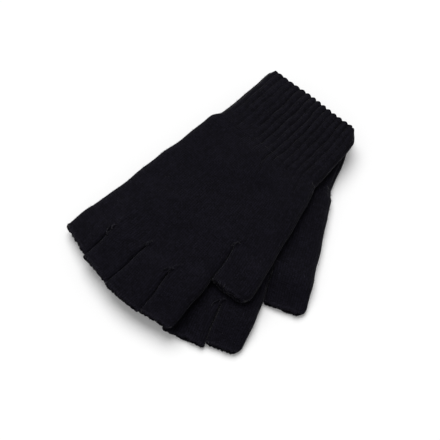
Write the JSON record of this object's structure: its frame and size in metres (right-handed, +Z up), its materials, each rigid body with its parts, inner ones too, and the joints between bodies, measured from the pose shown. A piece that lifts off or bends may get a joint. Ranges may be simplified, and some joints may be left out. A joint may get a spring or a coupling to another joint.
{
  "type": "fingerless knit gloves",
  "caption": "Pair of plain black knitted fingerless gloves with ribbed cuffs, lying flat with one turned across the other; the cut-short stalls leave the fingertips bare.",
  "frame": {"origin": "on the surface the pair lies on, under the middle of the lower glove's palm", "axes": "+Z up out of the surface, +Y along the lower glove from its cuff to its fingertips, +X towards its little-finger side"},
  "size_m": [0.1659, 0.2074, 0.0192],
  "materials": {
    "plain_knit": "fine matt jersey knit, slightly fuzzy",
    "ribbed_knit": "matt two-and-two rib knit",
    "bound_edge": "matt bound-off knit edge",
    "rubber_thread": "covered rubber thread"
  },
  "bodies": {
    "right_hand": {"right_cuff": "ribbed_knit", "right_cuff_welt": "bound_edge", "right_cuff_elastic": "rubber_thread", "right_palm_base": "plain_knit", "right_palm_top": "plain_knit", "right_crotch_stitches": "bound_edge"},
    "right_index": {"right_index_stall": "plain_knit", "right_index_edge": "bound_edge"},
    "right_middle": {"right_middle_stall": "plain_knit", "right_middle_edge": "bound_edge"},
    "right_ring": {"right_ring_stall": "plain_knit", "right_ring_edge": "bound_edge"},
    "right_little": {"right_little_stall": "plain_knit", "right_little_edge": "bound_edge"},
    "right_thumb": {"right_thumb_stall": "plain_knit", "right_thumb_edge": "bound_edge"},
    "left_hand": {"left_cuff": "ribbed_knit", "left_cuff_welt": "bound_edge", "left_cuff_elastic": "rubber_thread", "left_palm_base": "plain_knit", "left_palm_top": "plain_knit", "left_crotch_stitches": "bound_edge"},
    "left_index": {"left_index_stall": "plain_knit", "left_index_edge": "bound_edge"},
    "left_middle": {"left_middle_stall": "plain_knit", "left_middle_edge": "bound_edge"},
    "left_ring": {"left_ring_stall": "plain_knit", "left_ring_edge": "bound_edge"},
    "left_little": {"left_little_stall": "plain_knit", "left_little_edge": "bound_edge"},
    "left_thumb": {"left_thumb_stall": "plain_knit", "left_thumb_edge": "bound_edge"}
  },
  "joints": [
    {"name": "left_glove_lift", "type": "slide", "parent": "right_hand", "child": "left_hand", "axis": [0, 0, 1], "range_m": [0, 0.1]},
    {"name": "right_index_curl", "type": "hinge", "parent": "right_hand", "child": "right_index", "pos_m": [-0.03782, 0.06715, 0], "axis": [-1, 0, 0], "range_deg": [0, 80]},
    {"name": "right_middle_curl", "type": "hinge", "parent": "right_hand", "child": "right_middle", "pos_m": [-0.01356, 0.06715, 0], "axis": [-1, 0, 0], "range_deg": [0, 80]},
    {"name": "right_ring_curl", "type": "hinge", "parent": "right_hand", "child": "right_ring", "pos_m": [0.01104, 0.06715, 0], "axis": [-1, 0, 0], "range_deg": [0, 80]},
    {"name": "right_little_curl", "type": "hinge", "parent": "right_hand", "child": "right_little", "pos_m": [0.03668, 0.06715, 0], "axis": [-1, 0, 0], "range_deg": [0, 80]},
    {"name": "right_thumb_curl", "type": "hinge", "parent": "right_hand", "child": "right_thumb", "pos_m": [-0.05568, 0.02715, 0], "axis": [-1, 0, 0], "range_deg": [0, 60]},
    {"name": "left_index_curl", "type": "hinge", "parent": "left_hand", "child": "left_index", "pos_m": [-0.00162, 0.07031, 0.01901], "axis": [0.965, -0.2622, -0.0007], "range_deg": [0, 80]},
    {"name": "left_middle_curl", "type": "hinge", "parent": "left_hand", "child": "left_middle", "pos_m": [0.02179, 0.06395, 0.01898], "axis": [0.965, -0.2622, -0.0022], "range_deg": [0, 80]},
    {"name": "left_ring_curl", "type": "hinge", "parent": "left_hand", "child": "left_ring", "pos_m": [0.04553, 0.0575, 0.01883], "axis": [0.9648, -0.2621, -0.0214], "range_deg": [0, 80]},
    {"name": "left_little_curl", "type": "hinge", "parent": "left_hand", "child": "left_little", "pos_m": [0.07028, 0.05078, 0.01649], "axis": [0.9549, -0.2595, -0.1442], "range_deg": [0, 80]},
    {"name": "left_thumb_curl", "type": "hinge", "parent": "left_hand", "child": "left_thumb", "pos_m": [-0.02934, 0.0364, 0.01902], "axis": [0.965, -0.2622, -0.0004], "range_deg": [0, 60]}
  ]
}
